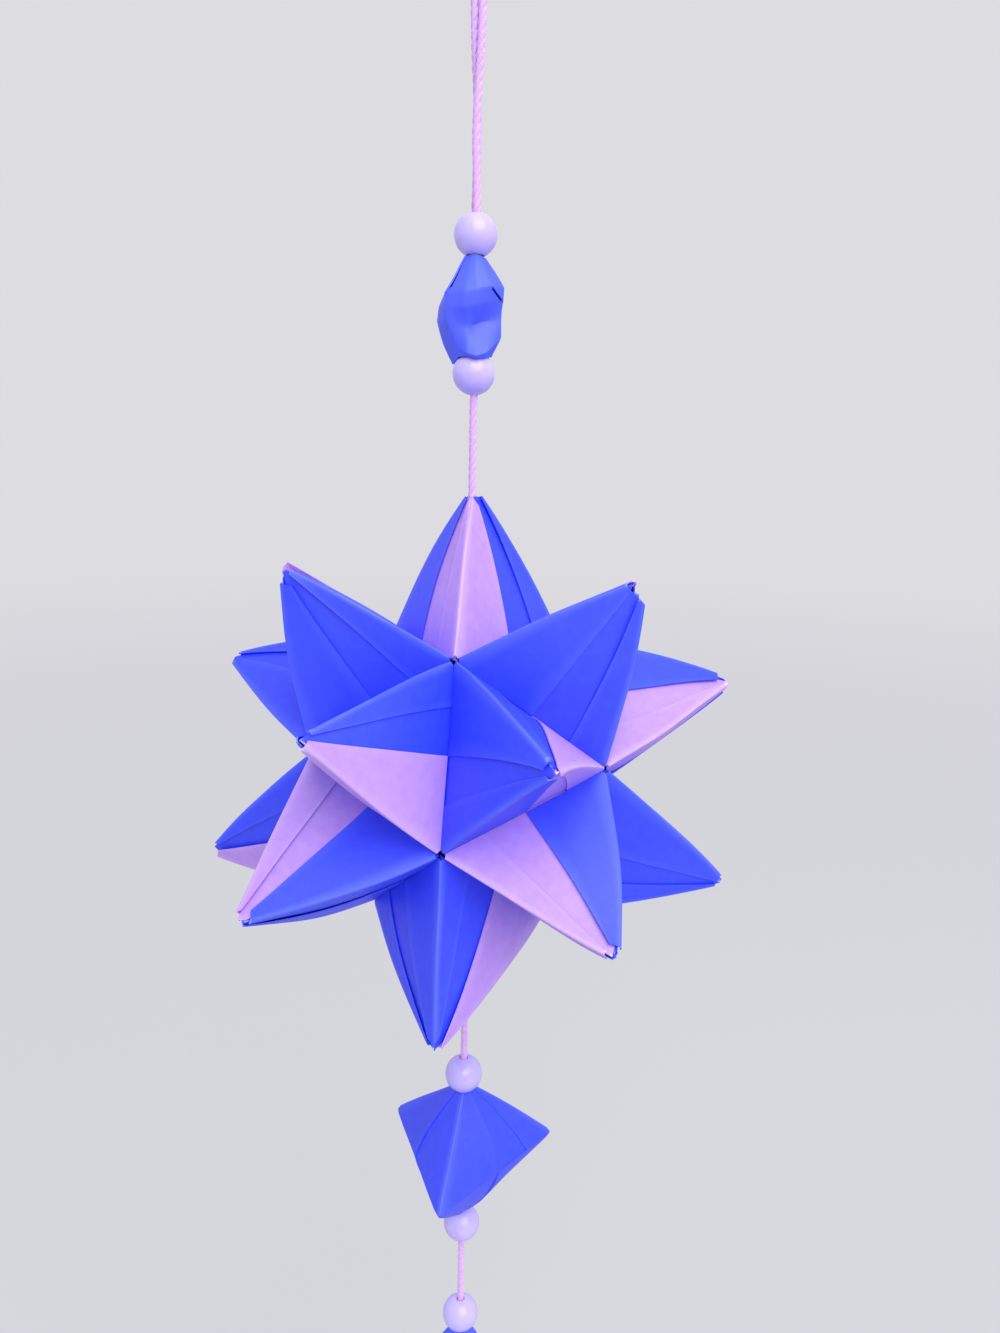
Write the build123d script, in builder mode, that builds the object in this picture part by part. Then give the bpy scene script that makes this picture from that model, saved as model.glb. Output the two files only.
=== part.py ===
"""A hanging kusudama: a twenty-pointed paper star ball on a yarn cord, with beads and a paper jewel.

Thirty folded paper units make the star. Each lies across one valley fold, tucks a tab into the
pocket of a neighbour at both ends, and closes its own pocket over the next tab. The origin is at
the top of the hanging loop, and everything hangs below it on one plumb line.
"""

import os
from itertools import combinations
from math import acos, cos, degrees, radians, sin, sqrt, tan

from build123d import *

# Driving dimensions, in millimetres
star_edge = 34.8        # valley fold between two neighbouring points of the star
star_ridge = 34.8       # fold from a valley corner up to a point
star_tip_cut = 0.7      # how much of each sharp point is missing
jewel_edge = 37.5       # edge round the middle of the paper jewel
jewel_ridge = 26.7      # edge from the middle of the jewel to its top or bottom
jewel_tip_cut = 0.9     # how much of each end of the jewel is missing
jewel_turn = -5.0       # degrees that the jewel has turned on the cord
layer = 0.3             # one folded layer, two plies of paper with the air between them
slip = 0.05             # room that a tab has in its pocket, above and below
valley_gap = 0.2        # free edges stop this short of a valley fold
corner_cut = 1.1        # the units that meet at a valley corner stop this short of it
barrel_height = 17.2    # small folded paper barrels between the beads
barrel_width = 12.9     # across the corners of a barrel's middle
barrel_mouth = 5.9      # across the corners of a barrel's ends
barrel_shoulder = 5.0   # height of the drawn-in part above the widest
barrel_skirt = 4.0      # height of the drawn-in part below the widest
barrel_dent = 2.4       # how far each side is pressed in between two ridges
barrel_dent_rise = 6.3  # height of a dent's deepest line above the lower mouth
barrel_wall = 0.5
bead_diameter = 8.0
cord_diameter = 1.5
cord_room = 0.2         # added to a hole's diameter where the cord passes through
strand_gap = 0.1        # between the two strands of the hanging loop
seat_gap = 0.1          # between pieces that rest on each other along the cord
loop_length = 62.0      # from the top bead to where the loop hangs
cord_above_star = 18.3  # bare cord from the second bead to the star's top point
cord_below_star = 11.4  # bare cord from the star's bottom point to the third bead
cord_below_jewel = 16.3  # bare cord from the fourth bead to the fifth
knot_diameter = 4.4     # hidden knots that hold the loop and the star
end_knot_diameter = 5.0
cord_tail = 5.0         # yarn left below the end knot

# Shares of a valley fold at which the layers of a unit end
hem_share = 0.25        # the hem beside a ridge
tab_share = 0.75        # the tab that the neighbour's flap covers
flap_share = 0.5        # the flap over the neighbour's tab, and the lining under it
root_share = 0.2        # where the flap and its lining part

dent_share = 0.4        # length of a dent's deepest line, as a share of the barrel's side

barrel_sides = 5
cord_sides = 8
golden = (1 + sqrt(5)) / 2

# Valley folds that carry a pink unit, one at every point, by the numbers of their two corners
pink_folds = {(0, 2), (1, 3), (1, 4), (2, 8), (3, 6), (4, 10), (5, 6), (7, 9), (8, 11), (9, 11)}

# Route of the hanging loop's right strand, from where the strands part up to its top, as (x, z)
loop_route = [(1.2, -27.0), (5.0, -13.3), (5.76, -5.87), (4.89, -1.76), (1.9, 0.75)]
strand_turn = -70.0     # degrees from X at which the pair of strands leaves the top bead

# Where everything hangs
bead_radius = bead_diameter / 2
mouth_inside = (barrel_mouth / 2 - barrel_wall) * cos(radians(180 / barrel_sides))
nest = bead_radius - sqrt(bead_radius**2 - mouth_inside**2) - seat_gap
barrel_step = bead_radius + barrel_height / 2 - nest
star_tip = star_edge * golden**2 / (2 * sqrt(3)) + sqrt(star_ridge**2 - star_edge**2 / 3)
jewel_tip = sqrt(jewel_ridge**2 - jewel_edge**2 / 3)
jewel_step = jewel_tip - jewel_tip_cut + seat_gap + bead_radius

bead_1_z = -loop_length - bead_radius
upper_barrel_z = bead_1_z - barrel_step
bead_2_z = upper_barrel_z - barrel_step
star_z = bead_2_z - bead_radius - cord_above_star - star_tip
bead_3_z = star_z - star_tip - cord_below_star - bead_radius
jewel_z = bead_3_z - jewel_step
bead_4_z = jewel_z - jewel_step
bead_5_z = bead_4_z - cord_below_jewel - bead_diameter
lower_barrel_z = bead_5_z - barrel_step
bead_6_z = lower_barrel_z - barrel_step
end_knot_z = bead_6_z - bead_radius - seat_gap - end_knot_diameter / 2
cord_end_z = end_knot_z - end_knot_diameter / 2 - cord_tail

os.makedirs("parts", exist_ok=True)


def save(part, name):
    part.label = name
    export_step(part, f"parts/{name}.step")


def between(start, end, share):
    return start + (end - start) * share


def toward(start, end, distance):
    return start + (end - start).normalized() * distance


# One folded unit: a bent strip with two arms that lies across one fold of the solid.
# Its own frame has the fold along X, outwards along Z and the first tip on the +Y side.
# Every outer face is equally far from the solid's centre, so a layer further in is the same
# outline drawn towards that centre, and the layers meet in a mitre at every fold.
def folded_unit(edge, ridge, centre_depth, lean, tip_cut):
    centre = Vector(0, 0, -centre_depth)
    tip_axis = Vector(0, sin(radians(lean)), cos(radians(lean)))
    base_centre = centre + tip_axis * (centre_depth * cos(radians(lean)))
    tip = base_centre + tip_axis * sqrt(ridge**2 - edge**2 / 3)
    near = Vector(edge / 2, 0, 0)
    far = Vector(-edge / 2, 0, 0)
    third = base_centre * 3 - near - far
    face = Plane(tip, x_dir=near - tip, z_dir=(near - tip).cross(far - tip))
    face_distance = abs(face.to_local_coords(centre).Z)

    def corners(valley_end, share, gap):
        valley = (toward(near, valley_end, corner_cut), between(near, valley_end, share))
        return [tip, toward(near, tip, corner_cut), *(toward(point, tip, gap) for point in valley)]

    def panel(outline, outer, inner):
        shares = [1 - depth / face_distance for depth in (outer, inner)]
        with BuildPart() as sheet:
            ConvexPolyhedron([between(centre, point, share) for share in shares for point in outline])
        return sheet.part

    flap_depth = layer - slip
    lining_depth = 2 * layer + slip
    layers = [
        panel(corners(far, hem_share, valley_gap), 0, layer),
        panel(corners(far, tab_share, 0), layer, 2 * layer),
        panel(corners(third, flap_share, valley_gap), 0, flap_depth),
        panel(corners(third, root_share, valley_gap), flap_depth, lining_depth),
        panel(corners(third, flap_share, valley_gap), lining_depth, lining_depth + flap_depth),
    ]
    with BuildPart() as arm:
        add(layers)
        split(bisect_by=Plane(tip - tip_axis * tip_cut, z_dir=tip_axis), keep=Keep.BOTTOM)

    with BuildPart() as unit:
        with PolarLocations(0, 2):
            add(arm.part)
    return unit.part


# A unit in its place. One that has the cord through its tip is pierced for it.
def place_unit(unit, seat, name, pierced):
    with BuildPart() as placed:
        with Locations(seat):
            add(unit)
        if pierced:
            with BuildSketch(Plane.XY):
                RegularPolygon((cord_diameter + cord_room) / 2, 6, major_radius=False)
            extrude(amount=cord_end_z, mode=Mode.SUBTRACT)
    save(placed.part, name)


# The star: an icosahedron's twelve corners, with two of its faces square to the cord, three
# corners round each end and six round the belt, and a unit across each of its thirty edges
def ring(radius, height, start):
    return [Vector(radius, 0, height).rotate(Axis.Z, start + 120 * turn) for turn in range(3)]


cap_radius = star_edge / sqrt(3)
cap_height = star_edge * golden**2 / (2 * sqrt(3))
belt_radius = cap_radius * golden
belt_height = cap_height - cap_radius
star_corners = [
    *ring(cap_radius, cap_height, -90),
    *ring(belt_radius, belt_height, -30),
    *ring(belt_radius, -belt_height, -90),
    *ring(cap_radius, -cap_height, -30),
]
top_cap = {0, 1, 2}
bottom_cap = {9, 10, 11}

star_unit = folded_unit(
    star_edge, star_ridge, star_edge * golden / 2, degrees(acos(golden / sqrt(3))), star_tip_cut
)
folds = [
    pair
    for pair in combinations(range(len(star_corners)), 2)
    if (star_corners[pair[0]] - star_corners[pair[1]]).length < 1.1 * star_edge
]
for colour, chosen in (
    ("blue", [fold for fold in folds if fold not in pink_folds]),
    ("pink", [fold for fold in folds if fold in pink_folds]),
):
    for number, (first, second) in enumerate(chosen, start=1):
        middle = between(star_corners[first], star_corners[second], 0.5)
        along = star_corners[second] - star_corners[first]
        seat = Plane(middle + Vector(0, 0, star_z), x_dir=along, z_dir=middle)
        on_cord = {first, second} <= top_cap or {first, second} <= bottom_cap
        place_unit(star_unit, seat, f"{colour}_unit_{number:02d}", on_cord)

# The jewel: three units of the same kind across the edges of one triangle, tips up and down
jewel_depth = jewel_edge / (2 * sqrt(3))
jewel_unit = folded_unit(jewel_edge, jewel_ridge, jewel_depth, 90, jewel_tip_cut)
for number, angle in enumerate((-30, 90, 210), start=1):
    outwards = Vector(1, 0, 0).rotate(Axis.Z, angle + jewel_turn)
    middle = outwards * jewel_depth + Vector(0, 0, jewel_z)
    seat = Plane(middle, x_dir=Vector(0, 0, 1).cross(outwards), z_dir=outwards)
    place_unit(jewel_unit, seat, f"jewel_unit_{number}", True)


# A paper barrel: a five-sided tube, drawn in at both mouths, with each side pressed in between
# its two ridges so that the paper stays round the beads
def barrel_ring(radius, height):
    side = 360 / barrel_sides
    return [Vector(0, -radius, height).rotate(Axis.Z, side * (turn + 0.5)) for turn in range(barrel_sides)]


def barrel_skin(height, wall):
    top, bottom = height + barrel_height / 2, height - barrel_height / 2
    belt_radius = barrel_width / 2 - wall
    mouth_radius = barrel_mouth / 2 - wall
    upper = barrel_ring(belt_radius, top - barrel_shoulder)
    lower = barrel_ring(belt_radius, bottom + barrel_skirt)
    dent_line = barrel_ring(belt_radius, bottom + barrel_dent_rise)
    with BuildPart() as skin:
        mouths = [*barrel_ring(mouth_radius, top), *barrel_ring(mouth_radius, bottom)]
        ConvexPolyhedron([*mouths, *upper, *lower])
        for left, right in zip(range(barrel_sides), (*range(1, barrel_sides), 0)):
            middle = between(dent_line[left], dent_line[right], 0.5)
            inwards = Vector(-middle.X, -middle.Y, 0).normalized() * barrel_dent
            deepest = [middle + (dent_line[end] - middle) * dent_share + inwards for end in (left, right)]
            ConvexPolyhedron(
                [upper[left], upper[right], lower[left], lower[right], *deepest], mode=Mode.SUBTRACT
            )
    return skin.part


def paper_barrel(height, name):
    with BuildPart() as barrel:
        add(barrel_skin(height, 0))
        add(barrel_skin(height, barrel_wall), mode=Mode.SUBTRACT)
    save(barrel.part, name)


paper_barrel(upper_barrel_z, "upper_paper_barrel")
paper_barrel(lower_barrel_z, "lower_paper_barrel")

# Six round beads. The top one has a wider bore, for both strands of the loop.
strand_x = (cord_diameter + strand_gap) / 2
single_bore = cord_diameter + cord_room
double_bore = 2 * strand_x + cord_diameter + cord_room
bead_heights = (bead_1_z, bead_2_z, bead_3_z, bead_4_z, bead_5_z, bead_6_z)
bead_bores = (double_bore, *[single_bore] * 5)
with BuildPart() as beads:
    for height, bore in zip(bead_heights, bead_bores):
        with Locations((0, 0, height)):
            Sphere(bead_radius)
            Cylinder(bore / 2, bead_diameter, mode=Mode.SUBTRACT)
save(beads.part, "round_beads")

# The cord is one length of yarn. Its upper end is doubled into the hanging loop: both strands run
# side by side up from a knot in the upper barrel, part above the top bead, and join over what the
# loop hangs on. Below the knot one strand runs down through everything. A knot in the star's
# bottom point carries the star, and the end knot carries the rest.
def cord_ring(radius, height):
    side = 360 / cord_sides
    return [Vector(radius, 0, height).rotate(Axis.Z, side * (turn + 0.5)) for turn in range(cord_sides)]


def knot(diameter, height):
    radius = diameter / 2
    ConvexPolyhedron(
        [
            *cord_ring(radius * 0.55, height + radius * 0.8),
            *cord_ring(radius, height + radius * 0.25),
            *cord_ring(radius, height - radius * 0.25),
            *cord_ring(radius * 0.55, height - radius * 0.8),
        ]
    )


# Runs joined by arcs as wide as the shorter run beside each allows
def bend_radii(points):
    bends = zip(points, points[1:], points[2:])
    return [
        0.45 * min((point - before).length, (after - point).length)
        / tan(radians((point - before).get_angle(after - point)) / 2)
        for before, point, after in bends
    ]


strand = Vector(strand_x, 0, 0).rotate(Axis.Z, strand_turn)
right_strand = [
    strand + Vector(0, 0, upper_barrel_z),
    strand + Vector(0, 0, bead_1_z + bead_diameter),
    *[Vector(x, 0, z) for x, z in loop_route],
]
route = [*right_strand, *[point.rotate(Axis.Z, 180) for point in reversed(right_strand)]]
radii = bend_radii(route)
print("cord bend radii, mm:", [round(radius, 1) for radius in radii])
point_sine = star_edge / (2 * sqrt(3)) / sqrt(star_ridge**2 - star_edge**2 / 4)
star_knot_z = star_z - star_tip + (knot_diameter / 2 + 3 * layer + seat_gap) / point_sine
with BuildPart() as cord:
    with BuildLine():
        FilletPolyline(*route, radius=radii)
    with BuildSketch(Plane(right_strand[0])):
        RegularPolygon(cord_diameter / 2, cord_sides, rotation=180 / cord_sides)
    sweep()
    with BuildSketch(Plane.XY.offset(upper_barrel_z)):
        RegularPolygon(cord_diameter / 2, cord_sides, rotation=180 / cord_sides)
    extrude(amount=cord_end_z - upper_barrel_z)
    knot(knot_diameter, upper_barrel_z)
    knot(knot_diameter, star_knot_z)
    knot(end_knot_diameter, end_knot_z)
save(cord.part, "yarn_cord")
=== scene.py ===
"""The hanging kusudama, dressed for its photograph: folded paper star, jewel, barrels, beads and yarn."""

import random
from itertools import combinations
from math import acos, cos, pi, radians, sin, sqrt

import bmesh
import bpy
from mathutils import Matrix, Vector, noise


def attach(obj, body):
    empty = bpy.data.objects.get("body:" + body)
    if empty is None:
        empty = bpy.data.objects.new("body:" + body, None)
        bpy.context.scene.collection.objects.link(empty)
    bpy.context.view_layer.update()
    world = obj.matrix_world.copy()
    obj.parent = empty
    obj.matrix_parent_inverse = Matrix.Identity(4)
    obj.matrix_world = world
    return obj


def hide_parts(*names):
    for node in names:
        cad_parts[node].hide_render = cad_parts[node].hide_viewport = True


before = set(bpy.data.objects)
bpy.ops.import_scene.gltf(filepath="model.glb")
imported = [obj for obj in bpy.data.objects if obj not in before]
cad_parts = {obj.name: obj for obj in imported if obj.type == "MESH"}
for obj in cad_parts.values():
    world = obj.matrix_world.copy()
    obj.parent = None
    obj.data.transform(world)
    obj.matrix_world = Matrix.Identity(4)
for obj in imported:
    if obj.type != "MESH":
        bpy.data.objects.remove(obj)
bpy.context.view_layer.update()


# The paper: smooth craft paper of about 80 g/m2, calendered and dyed through in a strong blue or a
# pale lavender. To the eye it is matte with a faint sheen and a slightly cloudy dye. Its folds and
# the rims of its hems are painted paler, partly as rubbed wear and partly as a painted highlight where
# light catches them, and the torn layers in the star's points show light fibre.
dye_cloud, pulp_clot, torn_tuft = 0.022, 0.0018, 0.0012
# The real tooth is some 0.05 mm across, too fine to show, so it is drawn coarser
paper_tooth, tooth_depth = 0.0007, 0.00005
# The sockets of a Mix node that take two colours, and the one that gives their mix
colour_a, colour_b, colour_mix = 6, 7, 2


def linear(colour):
    channels = [int(colour[start:start + 2], 16) / 255 for start in (1, 3, 5)]
    return [*(c / 12.92 if c <= 0.04045 else ((c + 0.055) / 1.055) ** 2.4 for c in channels), 1.0]


def add_node(material, kind, settings, inputs):
    node = material.node_tree.nodes.new(kind)
    for name, value in settings.items():
        setattr(node, name, value)
    for name, value in inputs.items():
        if isinstance(value, bpy.types.NodeSocket):
            material.node_tree.links.new(value, node.inputs[name])
        else:
            node.inputs[name].default_value = value
    return node


def new_material(name):
    material = bpy.data.materials.new(name)
    material.use_nodes = True
    material.node_tree.nodes.clear()
    return material


def dyed_paper(name, colour, deep, rub_and_highlight_colour, fibre):
    paper = new_material(name)
    place = add_node(paper, "ShaderNodeTexCoord", {}, {}).outputs["Object"]
    cloud = add_node(
        paper, "ShaderNodeTexNoise", {}, {"Vector": place, "Scale": 1 / dye_cloud, "Detail": 3.0}
    )
    pulp = add_node(
        paper, "ShaderNodeTexNoise", {}, {"Vector": place, "Scale": 1 / pulp_clot, "Detail": 3.0}
    )
    tooth = add_node(
        paper, "ShaderNodeTexNoise", {}, {"Vector": place, "Scale": 1 / paper_tooth, "Detail": 2.0}
    )
    ragged = add_node(
        paper, "ShaderNodeTexNoise", {}, {"Vector": place, "Scale": 1 / torn_tuft, "Detail": 1.0}
    )
    fold = add_node(paper, "ShaderNodeAttribute", {"attribute_name": "fold"}, {}).outputs["Fac"]
    torn = add_node(paper, "ShaderNodeAttribute", {"attribute_name": "torn"}, {}).outputs["Fac"]
    mottle = add_node(
        paper, "ShaderNodeMath", {"operation": "ADD"}, {0: cloud.outputs["Fac"], 1: pulp.outputs["Fac"]}
    )
    patchy = add_node(
        paper, "ShaderNodeMapRange", {},
        {"Value": mottle.outputs["Value"], "From Min": 0.75, "From Max": 1.3},
    )
    dye = add_node(
        paper, "ShaderNodeMix", {"data_type": "RGBA"},
        {"Factor": patchy.outputs["Result"], colour_a: linear(colour), colour_b: linear(deep)},
    )
    # Painted highlight: along ridges and hem rims the fold attribute mixes in the third, paler colour,
    # clouded, and along the ridges it also stands for rubbed wear. The barrels take a little of it all over.
    rub_and_highlight = add_node(paper, "ShaderNodeMath", {"operation": "MULTIPLY"}, {0: fold, 1: cloud.outputs["Fac"]})
    worn_and_highlit = add_node(
        paper, "ShaderNodeMix", {"data_type": "RGBA"},
        {"Factor": rub_and_highlight.outputs["Value"], colour_a: dye.outputs[colour_mix], colour_b: linear(rub_and_highlight_colour)},
    )
    tear = add_node(
        paper, "ShaderNodeMath", {"operation": "MULTIPLY"}, {0: torn, 1: ragged.outputs["Fac"]}
    )
    frayed = add_node(
        paper, "ShaderNodeMapRange", {},
        {"Value": tear.outputs["Value"], "From Min": 0.40, "From Max": 0.58},
    )
    ends = add_node(
        paper, "ShaderNodeMix", {"data_type": "RGBA"},
        {"Factor": frayed.outputs["Result"], colour_a: worn_and_highlit.outputs[colour_mix], colour_b: linear(fibre)},
    )
    bump = add_node(
        paper, "ShaderNodeBump", {},
        {"Height": tooth.outputs["Fac"], "Strength": 0.25, "Distance": tooth_depth},
    )
    skin = add_node(
        paper, "ShaderNodeBsdfPrincipled", {},
        {
            "Base Color": ends.outputs[colour_mix], "Roughness": 0.55, "Specular IOR Level": 0.8,
            "Normal": bump.outputs["Normal"],
        },
    )
    add_node(paper, "ShaderNodeOutputMaterial", {}, {"Surface": skin.outputs["BSDF"]})
    return paper


# The third colour of each paper is the paler rub and painted highlight on its folds and rims
blue_paper = dyed_paper("blue_dyed_paper", "#2944FA", "#203AF4", "#667EFF", "#8094FF")
lavender_paper = dyed_paper("lavender_dyed_paper", "#BE95EB", "#B288E5", "#DAC0F6", "#EADAF4")


# One folded unit: a paper square pressed into a strip with a tab and a pocket at each end. It
# lies across a valley fold; at each end its hem and flap wrap one ridge of a point, and its tab
# slides under the flap of the next unit.
sheet_thickness = 0.00022
hem_share, tab_share, flap_share = 0.25, 0.75, 0.5
valley_gap = 0.00003
ridge_radius = 0.0005
panel_columns, panel_rows = 4, 13
# How far the hidden layers fall short of the point, or pass it where the range starts below zero
tab_cut_ranges = ((-0.0002, 0.0012), (-0.0005, 0.0006))
lining_cut_ranges = ((-0.0003, 0.0006), (0.0, 0.0010))
# How far from a ridge its paler band reaches, partly rubbed wear and partly painted highlight, and how far the
# torn fibre runs back from a point
rub_and_highlight_width, torn_length = 0.0012, 0.0013
# Shares of a hem's or flap's width: where its painted highlight rim starts, and where its lift stops growing
rim_share, lift_share = 0.97, 1.2
bend_power = 2.5
corner_start, corner_softness = 0.85, 0.08
wave_length, wave_height = 0.017, 0.00035
fold_angle = radians(38)
# The noise has a seed, so the paper's waves are the same in every run
noise.seed_set(11)


# One point seen from the valley fold at its foot: the fold runs from near to far, and third is the
# corner across. The valley corners are cut by corner_cut or pressed round past corner_reach
# The last setting is the strength of a painted highlight along the outer rims of the hems and flaps
def point_shape(edge, height, centre_depth, lean, layer, corner_cut, corner_reach, crown, edge_highlight):
    axis = Vector((0, sin(lean), cos(lean)))
    centre = Vector((0, 0, -centre_depth))
    base = centre + axis * centre_depth * cos(lean)
    near, far = Vector((edge / 2, 0, 0)), Vector((-edge / 2, 0, 0))
    tip = base + axis * height
    normal = (far - tip).cross(near - tip).normalized()
    return {
        "axis": axis, "centre": centre, "base": base, "height": height, "near": near, "far": far,
        "third": base * 3 - near - far, "tip": tip, "face_distance": abs(normal.dot(tip - centre)),
        "layer": layer, "corner_cut": corner_cut, "corner_reach": corner_reach,
        "crown": crown, "edge_highlight": edge_highlight,
    }


def paper_sheet(shape, ends, depth, cuts, room, bulge, lifts, bend):
    sheet = bmesh.new()
    fold = sheet.verts.layers.float.new("fold")
    torn = sheet.verts.layers.float.new("torn")
    base, axis, tip, near = shape["base"], shape["axis"], shape["tip"], shape["near"]
    far, third, tall = shape["far"], shape["third"], shape["height"]
    shrink = 1 - depth / shape["face_distance"]
    corner_radius = (near - base).length

    def taper(height):
        return 1 - height + height * room / corner_radius

    def rise(point):
        return (point - base).dot(axis) / tall

    def runs_across(edge):
        return (rise(edge.verts[0].co) < 0.5) == (rise(edge.verts[1].co) < 0.5)

    low, high = [], []
    for (end, share), cut in zip(ends, cuts):
        point = near.lerp(end, share)
        top = 1 - cut / tall
        foot = point + (tip - point).normalized() * valley_gap
        low.append(sheet.verts.new(shape["centre"].lerp(foot, shrink)))
        high.append(sheet.verts.new(base + axis * tall * top + (point - base) * taper(top)))
    panels = [sheet.faces.new((low[i], low[i + 1], high[i + 1], high[i])) for i in range(len(low) - 1)]
    wraps_ridge = len(panels) == 2
    sheet.normal_update()
    if panels[0].normal.dot(panels[0].calc_center_median() - shape["centre"]) < 0:
        bmesh.ops.reverse_faces(sheet, faces=panels)

    if wraps_ridge:
        ridge = [edge for edge in sheet.edges if len(edge.link_faces) == 2]
        bmesh.ops.bevel(
            sheet, geom=ridge, offset=ridge_radius, offset_type="OFFSET", segments=3, profile=0.5,
            affect="EDGES", clamp_overlap=True, material=-1,
        )
    wide = sorted(sheet.faces, key=lambda face: -face.calc_area())[: len(panels)]
    crosswise = [edge for face in wide for edge in face.edges if runs_across(edge)]
    bmesh.ops.subdivide_edges(sheet, edges=crosswise, cuts=panel_columns, use_grid_fill=True)
    lengthwise = [edge for edge in sheet.edges if not runs_across(edge)]
    bmesh.ops.subdivide_edges(sheet, edges=lengthwise, cuts=panel_rows, use_grid_fill=True)

    if shape["corner_cut"]:
        inward = sum(((end - near).normalized() for end in (tip, far, third)), Vector()).normalized()
        bmesh.ops.bisect_plane(
            sheet, geom=[*sheet.verts, *sheet.edges, *sheet.faces], clear_inner=True, plane_no=inward,
            plane_co=near + inward * shape["corner_cut"] * inward.dot((far - near).normalized()),
        )

    sheet.normal_update()
    normals = {vert: vert.normal.copy() for vert in sheet.verts}
    for vert in sheet.verts:
        height = rise(vert.co)
        lifted = max(height, 0)
        foot = base + axis * height * tall
        out = vert.co - foot
        aside = out - (near - base) * taper(height)
        on_flap = aside.dot(third - near) > aside.dot(far - near)
        spread = aside.length / (corner_radius * sqrt(3) * taper(height))
        share = spread / (flap_share if on_flap else hem_share)
        # The faces swell most halfway up, and a crowned one most along its middle
        swell = bulge + shape["crown"] * (1 - abs(2 * spread - 1))
        reach = out.length + swell * 4 * lifted * max(1 - height, 0)
        if shape["corner_reach"]:
            slack = max(reach / shape["corner_reach"] - corner_start, 0)
            reach -= shape["corner_reach"] * slack**2 / (slack + corner_softness)
        vert.co = foot + out.normalized() * reach + bend * lifted**bend_power
        if wraps_ridge:
            lift = lifts[1] if on_flap else lifts[0]
            vert.co += normals[vert] * lift * min(share, lift_share) ** 2 * lifted**2
            # Painted highlight, paler along the ridge and on the hem's and flap's outer rim; along the ridge
            # it also stands for rubbed wear
            vert[fold] = max(0.0, 1 - aside.length / rub_and_highlight_width) + shape["edge_highlight"] * (share > rim_share)
        vert[torn] = max(0.0, 1 - ((1 - height) * tall - min(cuts)) / torn_length)
    sheet.normal_update()
    bmesh.ops.solidify(sheet, geom=sheet.faces[:], thickness=sheet_thickness)
    return sheet


def finished_piece(name, shape, sharp_angle, material):
    mesh = bpy.data.meshes.new(name)
    shape.to_mesh(mesh)
    shape.free()
    for polygon in mesh.polygons:
        polygon.use_smooth = True
    mesh.set_sharp_from_angle(angle=sharp_angle)
    mesh.materials.append(material)
    piece = bpy.data.objects.new(name, mesh)
    bpy.context.collection.objects.link(piece)
    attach(piece, "root")
    return piece


def add_shape(whole, shape):
    mesh = bpy.data.meshes.new("shape")
    shape.to_mesh(mesh)
    shape.free()
    whole.from_mesh(mesh)
    bpy.data.meshes.remove(mesh)


def folded_unit(name, shape, seat, paper, seed, bulge, arms):
    chance = random.Random(seed)
    unit = bmesh.new()
    far, third, layer = shape["far"], shape["third"], shape["layer"]
    for turn, (rooms, outer_cuts, lifts, bend) in zip((0, pi), arms):
        facing = Matrix.Rotation(turn, 4, "Z")
        leaning = (seat @ facing).to_3x3().inverted() @ Vector(bend)
        tab_cuts = [chance.uniform(*span) for span in tab_cut_ranges]
        lining_cuts = [chance.uniform(*span) for span in lining_cut_ranges]
        for ends, depth, cuts, room in (
            (((far, hem_share), (far, 0), (third, flap_share)), 0, outer_cuts, rooms[0]),
            (((far, tab_share), (far, 0)), layer, tab_cuts, rooms[1]),
            (((far, 0), (third, flap_share)), 2 * layer, lining_cuts, rooms[2]),
        ):
            sheet = paper_sheet(shape, ends, depth, cuts, room, bulge, lifts, leaning)
            sheet.transform(facing)
            add_shape(unit, sheet)
    unit.transform(seat)
    for vert in unit.verts:
        vert.co += noise.noise_vector(vert.co / wave_length) * wave_height
    return finished_piece(name, unit, fold_angle, paper)


def seat_at(origin, along, outwards):
    x, z = along.normalized(), outwards.normalized()
    return Matrix.Translation(origin) @ Matrix((x, z.cross(x), z)).transposed().to_4x4()


# The star: twenty blue and ten lavender paper units, one across each edge of an icosahedron that
# hangs with a face up. Three units chase each other round every point, each with its tab in the
# next one's pocket, and nothing is glued.
star_edge = 0.0348
star_middle = Vector((0, 0, -0.16736))
star_bulge = 0.0009
golden = (1 + sqrt(5)) / 2
pink_folds = {(0, 2), (1, 3), (1, 4), (2, 8), (3, 6), (4, 10), (5, 6), (7, 9), (8, 11), (9, 11)}
cap_radius = star_edge / sqrt(3)
cap_height = star_edge * golden**2 / (2 * sqrt(3))
belt_radius, belt_height = cap_radius * golden, cap_height - cap_radius


def ring(radius, height, start):
    angles = [radians(start + 120 * turn) for turn in range(3)]
    return [Vector((radius * cos(angle), radius * sin(angle), height)) for angle in angles]


star_corners = [
    *ring(cap_radius, cap_height, -90), *ring(belt_radius, belt_height, -30),
    *ring(belt_radius, -belt_height, -90), *ring(cap_radius, -cap_height, -30),
]
star_point = point_shape(
    edge=star_edge, height=star_edge * sqrt(2 / 3), centre_depth=star_edge * golden / 2,
    lean=acos(golden / sqrt(3)), layer=0.0003, corner_cut=0.0011, corner_reach=0, crown=0, edge_highlight=0.3,
)
# The cord passes through the top and the bottom point, where the layers keep clear of it
cord_points = ((0, 1, 2), (9, 10, 11))
cord_rooms = (0.00115, 0.00100, 0.00090)
point_bends = {
    (0, 3, 6): (0.0007, 0, -0.0033),
    (5, 6, 11): (-0.0018, 0, 0.0012),
    (3, 6, 9): (-0.0008, 0, 0),
}
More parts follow.
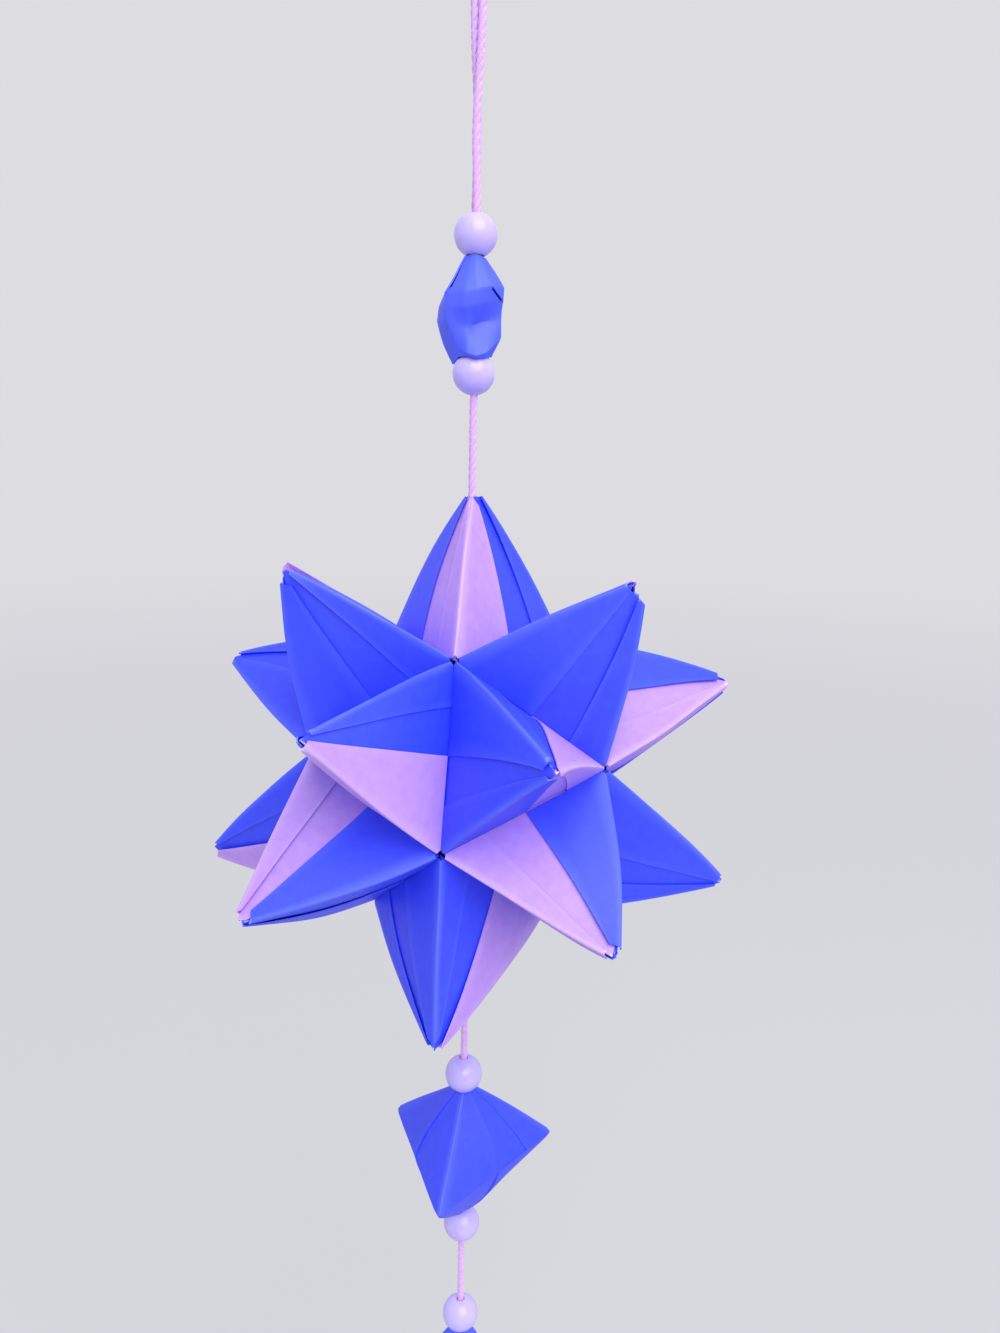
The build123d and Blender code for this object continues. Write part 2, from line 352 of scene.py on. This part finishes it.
# Ends that came apart in handling, by fold and arm: how far the ridge stands off the point's axis,
# how short the hem, ridge and flap fall, and how far the hem and flap lift, in tenths of a millimetre
tenths_in_metre = 10000
worn_ends = {
    ((0, 3), 0): (34, (6, 10, 30), (3, 2)),
    ((0, 1), 1): (14, (4, 5, 8), (1, 3)),
    ((1, 3), 1): (10, (0, -6, 0), (2, 4)),
    ((0, 5), 1): (21, (4, 1, 14), (5, 0)),
    ((2, 5), 0): (17, (12, 9, 22), (2, 5)),
    ((0, 2), 0): (14, (-4, -8, 0), (12, 2)),
    ((0, 5), 0): (15, (6, 3, 8), (3, 0)),
    ((5, 6), 0): (13, (2, 0, 4), (9, 2)),
    ((0, 6), 1): (15, (8, 6, 10), (2, 2)),
    ((0, 3), 1): (17, (6, 4, 12), (4, 3)),
    ((0, 6), 0): (15, (8, 3, 8), (3, 4)),
    ((3, 6), 1): (13, (2, -3, 3), (3, 3)),
    ((2, 5), 1): (21, (4, 3, 8), (1, 4)),
    ((5, 8), 1): (17, (2, 2, 4), (1, 2)),
    ((1, 7), 1): (19, (12, 10, 16), (1, 4)),
    ((1, 3), 0): (14, (0, 0, 4), (3, 1)),
    ((3, 7), 0): (20, (10, 10, 10), (1, 2)),
    ((5, 11), 1): (17, (14, 2, 10), (2, 2)),
    ((8, 11), 0): (24, (4, -5, 8), (3, 3)),
    ((5, 6), 1): (20, (10, 2, 14), (2, 3)),
    ((6, 11), 1): (15, (6, 6, 20), (1, 2)),
    ((5, 11), 0): (17, (6, 0, 8), (2, 2)),
    ((3, 6), 0): (17, (8, 6, 8), (1, 3)),
    ((3, 9), 1): (19, (2, 0, 14), (1, 5)),
    ((6, 9), 0): (12, (2, 0, 6), (2, 2)),
    ((9, 11), 1): (15, (4, 0, 3), (2, 7)),
    ((6, 9), 1): (17, (18, 0, 14), (4, 2)),
    ((6, 11), 0): (16, (10, 4, 12), (2, 3)),
    ((0, 2), 1): (11, (16, 0, 20), (3, 1)),
    ((0, 1), 0): (21, (6, 1, 8), (2, 4)),
    ((1, 2), 0): (18, (8, 2, 8), (2, 2)),
}
# The other ends differ within these ranges, and each tab and lining lies nearer the axis than its flap
usual_room, usual_cut, usual_hem_lift, usual_flap_lift = (13, 18), (1, 10), (0, 3), (1, 5)
tab_room_share, lining_room = 0.4, 0.0002
counts = {"blue": 0, "pink": 0}
# Two corners share a fold when they lie one edge apart, with some slack for rounding
longest_fold = 1.1 * star_edge
folds = [
    pair for pair in combinations(range(len(star_corners)), 2)
    if (star_corners[pair[0]] - star_corners[pair[1]]).length < longest_fold
]
joined = {pair for fold in folds for pair in (fold, fold[::-1])}
number_of = {fold: number for number, fold in enumerate(folds)}
for colour, paper, slot, first_seed in (
    ("blue", blue_paper, "blue_paper", 0), ("pink", lavender_paper, "lavender_paper", 100),
):
    for first, second in folds:
        if ((first, second) in pink_folds) != (colour == "pink"):
            continue
        counts[colour] += 1
        node = f"{colour}_unit_{counts[colour]:02d}"
        middle = (star_corners[first] + star_corners[second]) / 2
        seat = seat_at(middle + star_middle, star_corners[second] - star_corners[first], middle)
        chance = random.Random(number_of[first, second])
        arms = []
        for arm, side in enumerate((1, -1)):
            third = next(
                corner for corner in range(len(star_corners))
                if (first, corner) in joined and (second, corner) in joined
                and (seat.inverted() @ (star_corners[corner] + star_middle)).y * side > 0
            )
            corners = tuple(sorted((first, second, third)))
            own_room = chance.uniform(*usual_room)
            own_cuts = [chance.uniform(*usual_cut) for _ in range(3)]
            own_lifts = [chance.uniform(*span) for span in (usual_hem_lift, usual_flap_lift)]
            off, ends, lifts = worn_ends.get(((first, second), arm), (own_room, own_cuts, own_lifts))
            rooms = [off / tenths_in_metre, tab_room_share * off / tenths_in_metre, lining_room]
            if corners in cord_points:
                rooms = [max(room, least) for room, least in zip(rooms, cord_rooms)]
            cuts = [end / tenths_in_metre for end in ends]
            lifts = [lift / tenths_in_metre for lift in lifts]
            arms.append((rooms, cuts, lifts, point_bends.get(corners, (0, 0, 0))))
        seed = counts[colour] + first_seed
        piece = folded_unit(f"{node}_paper", star_point, seat, paper, seed, star_bulge, arms)
        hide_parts(node)


# The jewel: three blue paper units of the same kind across the edges of one triangle, tips up and
# down, pinched on the cord between two beads. Its corners are pressed round by the fingers, and its
# faces stand a little domed.
jewel_edge, jewel_ridge = 0.0375, 0.0267
jewel_z = -0.25630
jewel_depth = jewel_edge / (2 * sqrt(3))
jewel_bulge = 0.0004
jewel_seed = 200
jewel_rooms, jewel_cuts = (0.0020, 0.00185, 0.0018), (0.0002, 0.0002, 0.0004)
jewel_point = point_shape(
    edge=jewel_edge, height=sqrt(jewel_ridge**2 - jewel_edge**2 / 3), centre_depth=jewel_depth,
    lean=radians(90), layer=0.00014, corner_cut=0, corner_reach=0.0235, crown=0.0012, edge_highlight=0.1,
)
for number, angle in enumerate((-35, 85, 205), start=1):
    outwards = Vector((cos(radians(angle)), sin(radians(angle)), 0))
    middle = outwards * jewel_depth + Vector((0, 0, jewel_z))
    seat = seat_at(middle, Vector((0, 0, 1)).cross(outwards), outwards)
    piece = folded_unit(
        f"jewel_unit_{number}_paper", jewel_point, seat, blue_paper, jewel_seed + number, jewel_bulge,
        [(jewel_rooms, jewel_cuts, (0, 0), (0, 0, 0))] * 2,
    )
    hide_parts(f"jewel_unit_{number}")


# The barrels: small tubes of the same blue paper, folded flat-sided by hand, drawn in at both
# mouths and pushed in between their ridges. One sits between the first two beads, one below the
# fifth, and two of the folds on each have slipped open.
barrel_wall = 0.0003
barrel_rub = 0.6
crumple_length, crumple_depth = 0.004, 0.0002
slit_lift, slit_sink = 0.0002, 0.0006
barrel_fold_angle = radians(30)
# Turns from the front in degrees, and for each ring from the top down its heights and radii there,
# in tenths of a millimetre
front = -90
barrel_angles = (-100, -48, -12, 12, 40, 85, 130, 180, -150)
barrel_rings = (
    ((82, 20), (83, 21), (85, 22), (86, 22), (84, 21), (81, 21), (84, 21), (86, 21), (84, 21)),
    ((22, 60), (16, 64), (20, 58), (23, 58), (27, 58), (31, 56), (26, 60), (24, 60), (25, 60)),
    ((-4, 71), (-8, 66), (-10, 54), (-5, 51), (0, 51), (4, 55), (2, 60), (0, 54), (0, 64)),
    ((-28, 76), (-34, 62), (-40, 34), (-37, 21), (-33, 22), (-22, 51), (-20, 58), (-28, 42), (-24, 66)),
    ((-70, 63), (-80, 40), (-88, 44), (-93, 47), (-87, 45), (-56, 52), (-56, 55), (-58, 50), (-62, 58)),
    ((-105, 42), (-94, 35), (-93, 36), (-97, 38), (-96, 36), (-93, 34), (-88, 33), (-88, 32), (-96, 36)),
)
for node, height, turn in (("upper_paper_barrel", -0.07817, 0), ("lower_paper_barrel", -0.31160, 130)):
    barrel = bmesh.new()
    slit = barrel.edges.layers.float.new("slit")
    fold = barrel.verts.layers.float.new("fold")
    loops = []
    for ring_sizes in barrel_rings:
        circle = bmesh.ops.create_circle(barrel, cap_ends=False, radius=1, segments=len(barrel_angles))
        for vert, (z, r), angle in zip(circle["verts"], ring_sizes, barrel_angles):
            angle = radians(angle + front + turn)
            x, y = r * cos(angle) / tenths_in_metre, r * sin(angle) / tenths_in_metre
            vert.co = (x, y, z / tenths_in_metre + height)
            vert[fold] = barrel_rub
        loops.append(circle["verts"])
    bmesh.ops.bridge_loops(barrel, edges=barrel.edges[:])
    bmesh.ops.recalc_face_normals(barrel, faces=barrel.faces[:])
    bmesh.ops.connect_verts(barrel, verts=[loops[1][4], loops[2][5]])
    # Each slit's upper and lower end, and the side of it that lies on the outside
    slits = ((loops[0][1], loops[1][1], -1), (loops[1][4], loops[2][5], 1))
    for upper, lower, outer_side in slits:
        barrel.edges.get((upper, lower))[slit] = outer_side
    bmesh.ops.subdivide_edges(barrel, edges=barrel.edges[:], cuts=5, use_grid_fill=True)
    bmesh.ops.split_edges(barrel, edges=[edge for edge in barrel.edges if edge[slit]])
    inner = [vert for vert in barrel.verts if not vert.is_boundary]
    bmesh.ops.smooth_vert(
        barrel, verts=inner, factor=0.5, use_axis_x=True, use_axis_y=True, use_axis_z=True
    )
    barrel.normal_update()
    for vert in barrel.verts:
        vert.co += noise.noise_vector(vert.co / crumple_length) * crumple_depth
        outer_side = sum(edge[slit] for edge in vert.link_edges)
        if vert.is_boundary and outer_side:
            centres = [face.calc_center_median() for face in vert.link_faces]
            middle = sum(centres, Vector()) / len(centres)
            turned = (vert.co.x * middle.y - vert.co.y * middle.x) * outer_side
            vert.co += vert.normal * (slit_lift if turned > 0 else -slit_sink)
    bmesh.ops.solidify(barrel, geom=barrel.faces[:], thickness=barrel_wall)
    piece = finished_piece(f"{node}_paper", barrel, barrel_fold_angle, blue_paper)
    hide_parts(node)


# The beads: round eight millimetre beads of milky lilac acrylic, moulded and tumbled to a gloss,
# with a drilled bore for the yarn. The top one is drilled wider for both strands.
bead_radius = 0.004
bead_heights = (-0.0660, -0.09035, -0.23748, -0.27513, -0.29943, -0.32378)
top_bore, bead_bore, bore_rim = 0.00165, 0.00080, 0.0002
bore_share = 0.93
bore_angle = radians(50)
milk_streak = 0.004
beads = bmesh.new()
for number, height in enumerate(bead_heights):
    bore = top_bore if number == 0 else bead_bore
    start_angle = (bore + bore_rim) / bead_radius
    bead = bmesh.new()
    mouth = bead.verts.new((bead_radius * sin(start_angle), 0, bead_radius * cos(start_angle)))
    bmesh.ops.spin(
        bead, geom=[mouth], axis=(0, 1, 0), cent=(0, 0, 0), angle=pi - 2 * start_angle, steps=26
    )
    for vert in [vert for vert in bead.verts if len(vert.link_edges) == 1]:
        wall = bead.verts.new((bore, 0, vert.co.z * bore_share))
        bead.edges.new((vert, wall))
    bead.edges.new([vert for vert in bead.verts if len(vert.link_edges) == 1])
    bmesh.ops.spin(
        bead, geom=[*bead.verts, *bead.edges], axis=(0, 0, 1), cent=(0, 0, 0), angle=2 * pi, steps=44,
        use_merge=True,
    )
    bmesh.ops.remove_doubles(bead, verts=bead.verts[:], dist=0.00001)
    bmesh.ops.recalc_face_normals(bead, faces=bead.faces[:])
    bmesh.ops.translate(bead, verts=bead.verts[:], vec=(0, 0, height))
    add_shape(beads, bead)
# The acrylic is cloudy: light goes a little way in, which softens its shade, under a clear highlight
acrylic = new_material("milky_lilac_acrylic")
place = add_node(acrylic, "ShaderNodeTexCoord", {}, {}).outputs["Object"]
milk = add_node(
    acrylic, "ShaderNodeTexNoise", {},
    {"Vector": place, "Scale": 1 / milk_streak, "Detail": 2.0, "Distortion": 0.6},
)
tint = add_node(
    acrylic, "ShaderNodeMix", {"data_type": "RGBA"},
    {"Factor": milk.outputs["Fac"], colour_a: linear("#BDACF6"), colour_b: linear("#CCC1FC")},
)
gloss = add_node(
    acrylic, "ShaderNodeBsdfPrincipled", {"subsurface_method": "RANDOM_WALK"},
    {
        "Base Color": tint.outputs[colour_mix], "Roughness": 0.16, "IOR": 1.49, "Subsurface Weight": 0.5,
        "Subsurface Radius": (1.0, 0.9, 1.2), "Subsurface Scale": 0.0015,
    },
)
add_node(acrylic, "ShaderNodeOutputMaterial", {}, {"Surface": gloss.outputs["BSDF"]})
piece = finished_piece("acrylic_beads", beads, bore_angle, acrylic)
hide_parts("round_beads")


# The cord: soft three-ply acrylic yarn in pinkish lilac, about 1.5 mm thick. It is doubled into a
# hanging loop, its two strands cross above the top bead, and it ends below the last bead in a knot.
ply_radius, ply_offset = 0.00048, 0.00029
twist_pitch = 0.0052
line_steps = 1024
yarn_spacing = 0.0005
yarn_points = (
    (0, 0, -0.33788), (0, 0, -0.3100), (0, 0, -0.0920),
    (0.00027, -0.00075, -0.07817), (0.00027, -0.00075, -0.0580),
    (-0.0002, -0.00078, -0.0480), (0.0007, -0.0005, -0.0340), (0.0008, 0, -0.0230), (0.0050, 0, -0.0133),
    (0.00576, 0, -0.00587), (0.00489, 0, -0.00176), (0.0019, 0, 0.00075),
    (-0.0019, 0, 0.00075), (-0.00489, 0, -0.00176), (-0.00576, 0, -0.00587),
    (-0.0050, 0, -0.0133), (-0.0008, 0, -0.0230), (-0.0007, 0.0005, -0.0340), (0.0002, 0.00078, -0.0480),
    (-0.00027, 0.00075, -0.0580), (-0.00027, 0.00075, -0.07817),
)


def smooth_line(name, points, spacing):
    curve = bpy.data.curves.new(name, "CURVE")
    curve.dimensions = "3D"
    curve.resolution_u = line_steps
    spline = curve.splines.new("NURBS")
    spline.points.add(len(points) - 1)
    for control, point in zip(spline.points, points):
        control.co = (*point, 1)
    spline.order_u = 3
    spline.use_endpoint_u = True
    line = bpy.data.objects.new(name, curve)
    mesh = bpy.data.meshes.new_from_object(line)
    route = [mesh.vertices[0].co.copy()]
    for vert in mesh.vertices:
        if (vert.co - route[-1]).length > spacing:
            route.append(vert.co.copy())
    route[-1] = mesh.vertices[-1].co.copy()
    bpy.data.objects.remove(line)
    bpy.data.meshes.remove(mesh)
    return route


def twisted_yarn(name, route, material):
    curve = bpy.data.curves.new(name, "CURVE")
    curve.dimensions = "3D"
    curve.bevel_depth = ply_radius
    curve.bevel_resolution = 2
    curve.use_fill_caps = True
    for ply in range(3):
        spline = curve.splines.new("POLY")
        spline.points.add(len(route) - 1)
        travelled = 0
        for number, point in enumerate(route):
            before = route[max(number - 1, 0)]
            ahead = (route[min(number + 1, len(route) - 1)] - before).normalized()
            side = (Vector((0, 1, 0)) - ahead * ahead.y).normalized()
            other = ahead.cross(side)
            travelled += (point - before).length
            angle = 2 * pi * (travelled / twist_pitch + ply / 3)
            around = side * cos(angle) + other * sin(angle)
            spline.points[number].co = (*(point + around * ply_offset), 1)
    tube = bpy.data.objects.new(name, curve)
    mesh = bpy.data.meshes.new_from_object(tube)
    bpy.data.objects.remove(tube)
    for polygon in mesh.polygons:
        polygon.use_smooth = True
    mesh.materials.clear()
    mesh.materials.append(material)
    piece = bpy.data.objects.new(name, mesh)
    bpy.context.collection.objects.link(piece)
    return piece


# The spun yarn is matte and a little fuzzy, with a pale bloom at its rim; its real fibres are some
# 0.02 mm thick, too fine to show, so they are drawn as coarser tufts
fibre_tuft, fuzz_depth = 0.0005, 0.0001
yarn = new_material("lilac_acrylic_yarn")
place = add_node(yarn, "ShaderNodeTexCoord", {}, {}).outputs["Object"]
fibre = add_node(
    yarn, "ShaderNodeTexNoise", {}, {"Vector": place, "Scale": 1 / fibre_tuft, "Detail": 3.0}
)
shade = add_node(
    yarn, "ShaderNodeMix", {"data_type": "RGBA"},
    {"Factor": fibre.outputs["Fac"], colour_a: linear("#C48FE0"), colour_b: linear("#E9C6F6")},
)
fuzz = add_node(
    yarn, "ShaderNodeBump", {}, {"Height": fibre.outputs["Fac"], "Strength": 0.5, "Distance": fuzz_depth}
)
wool = add_node(
    yarn, "ShaderNodeBsdfPrincipled", {},
    {
        "Base Color": shade.outputs[colour_mix], "Roughness": 0.9, "Sheen Weight": 0.35,
        "Sheen Roughness": 0.6, "Specular IOR Level": 0.2, "Normal": fuzz.outputs["Normal"],
    },
)
add_node(yarn, "ShaderNodeOutputMaterial", {}, {"Surface": wool.outputs["BSDF"]})
yarn_route = smooth_line("yarn_line", yarn_points, yarn_spacing)
cord = twisted_yarn("yarn_cord_plies", yarn_route, yarn)
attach(cord, "root")
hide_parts("yarn_cord")


# The knots: overhand knots pulled tight in the same yarn, in the upper barrel, in the star's bottom
# point, where one carries the star, and below the last bead.
knot_spacing = 0.0001
knot_steps = 24
knot_width, knot_height = 0.72, 1.2
for name, height, reach in (
    ("loop_knot", -0.07817, 0.00072), ("star_knot", -0.21250, 0.00072), ("end_knot", -0.33038, 0.00082)
):
    turns = [2 * pi * step / knot_steps for step in range(knot_steps + 1)]
    wrap = [
        (
            reach * (sin(t) + 2 * sin(2 * t)) * knot_width,
            reach * (cos(t) - 2 * cos(2 * t)) * knot_width,
            height - reach * knot_height * sin(3 * t),
        )
        for t in turns
    ]
    knot = twisted_yarn(name, smooth_line(name, wrap, knot_spacing), yarn)
    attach(knot, "root")


# The camera: close to the star and a little above its middle, as in the photo. Its turn, its lens in
# picture points and its stand in star edges come from a fit to the star's points and valley corners.
view_azimuth, view_pitch, view_roll = radians(6.33), radians(12.3), radians(1.2)
stand_right, stand_up, stand_back = 0.187, 0.582, 5.97
lens_points, picture_points = 1020, 1333
scene = bpy.context.scene
back = Vector((cos(view_pitch) * sin(view_azimuth), -cos(view_pitch) * cos(view_azimuth), sin(view_pitch)))
right = (-back).cross(Vector((0, 0, 1))).normalized()
up = right.cross(-back)
rolled_right = right * cos(view_roll) + up * sin(view_roll)
rolled_up = up * cos(view_roll) - right * sin(view_roll)
lens = bpy.data.cameras.new("camera")
lens.sensor_fit = "VERTICAL"
lens.sensor_height = 36
lens.lens = lens.sensor_height * lens_points / picture_points
lens.clip_start = 0.01
camera = bpy.data.objects.new("camera", lens)
bpy.context.collection.objects.link(camera)
stand = star_middle + (rolled_right * stand_right + rolled_up * stand_up + back * stand_back) * star_edge
camera.matrix_world = Matrix.Translation(stand) @ Matrix((rolled_right, rolled_up, back)).transposed().to_4x4()
scene.camera = camera


# The stage: a wide floor of pale matte paper below the hanging ball. It takes the ball's soft shadow,
# and further out it glows into an even pale backdrop, so no horizon shows behind the ball.
floor_radius, floor_z = 6, -0.42
glow_start, glow_end, glow_least = 0.5, 2.5, 0.65
backdrop_tone = linear("#DCDCE1")
floor_mesh = bpy.data.meshes.new("floor")
floor_shape = bmesh.new()
bmesh.ops.create_circle(
    floor_shape, cap_ends=True, radius=floor_radius, segments=64, matrix=Matrix.Translation((0, 0, floor_z))
)
floor_shape.to_mesh(floor_mesh)
floor_shape.free()
floor = bpy.data.objects.new("floor", floor_mesh)
bpy.context.collection.objects.link(floor)
floor_paint = new_material("pale_paper_floor")
place = add_node(floor_paint, "ShaderNodeTexCoord", {}, {}).outputs["Object"]
away = add_node(floor_paint, "ShaderNodeVectorMath", {"operation": "LENGTH"}, {0: place})
fade = add_node(
    floor_paint, "ShaderNodeMapRange", {"interpolation_type": "SMOOTHSTEP"},
    {
        "Value": away.outputs["Value"], "From Min": glow_start, "From Max": glow_end,
        "To Min": glow_least, "To Max": 1.0,
    },
)
ray = add_node(floor_paint, "ShaderNodeLightPath", {}, {})
seen = add_node(
    floor_paint, "ShaderNodeMath", {"operation": "MULTIPLY"},
    {0: ray.outputs["Is Camera Ray"], 1: fade.outputs["Result"]},
)
coat = add_node(
    floor_paint, "ShaderNodeBsdfPrincipled", {}, {"Base Color": linear("#C2C1C6"), "Roughness": 0.9}
)
glow = add_node(floor_paint, "ShaderNodeEmission", {}, {"Color": backdrop_tone, "Strength": 1.0})
even = add_node(
    floor_paint, "ShaderNodeMixShader", {},
    {0: seen.outputs["Value"], 1: coat.outputs["BSDF"], 2: glow.outputs["Emission"]},
)
add_node(floor_paint, "ShaderNodeOutputMaterial", {}, {"Surface": even.outputs["Shader"]})
floor_mesh.materials.append(floor_paint)


# The light: an overcast sky all round, seen as the backdrop, and one wide soft lamp above and to
# the right of the camera that gives the points their paler sides.
scene.view_settings.view_transform = "Standard"
world = bpy.data.worlds.new("studio")
scene.world = world
world.use_nodes = True
world.node_tree.nodes.clear()
ray = add_node(world, "ShaderNodeLightPath", {}, {})
sky = add_node(world, "ShaderNodeBackground", {}, {"Color": linear("#EEEEF8"), "Strength": 0.9})
backdrop = add_node(world, "ShaderNodeBackground", {}, {"Color": backdrop_tone, "Strength": 1.0})
studio = add_node(
    world, "ShaderNodeMixShader", {},
    {0: ray.outputs["Is Camera Ray"], 1: sky.outputs["Background"], 2: backdrop.outputs["Background"]},
)
add_node(world, "ShaderNodeOutputWorld", {}, {"Surface": studio.outputs["Shader"]})
lamp = bpy.data.lights.new("overhead_softbox", "AREA")
lamp.shape = "DISK"
lamp.size = 1.4
lamp.energy = 18
softbox = bpy.data.objects.new("overhead_softbox", lamp)
bpy.context.collection.objects.link(softbox)
softbox.location = (0.5, -0.85, 0.78)
softbox.rotation_euler = (star_middle - softbox.location).to_track_quat("-Z", "Y").to_euler()
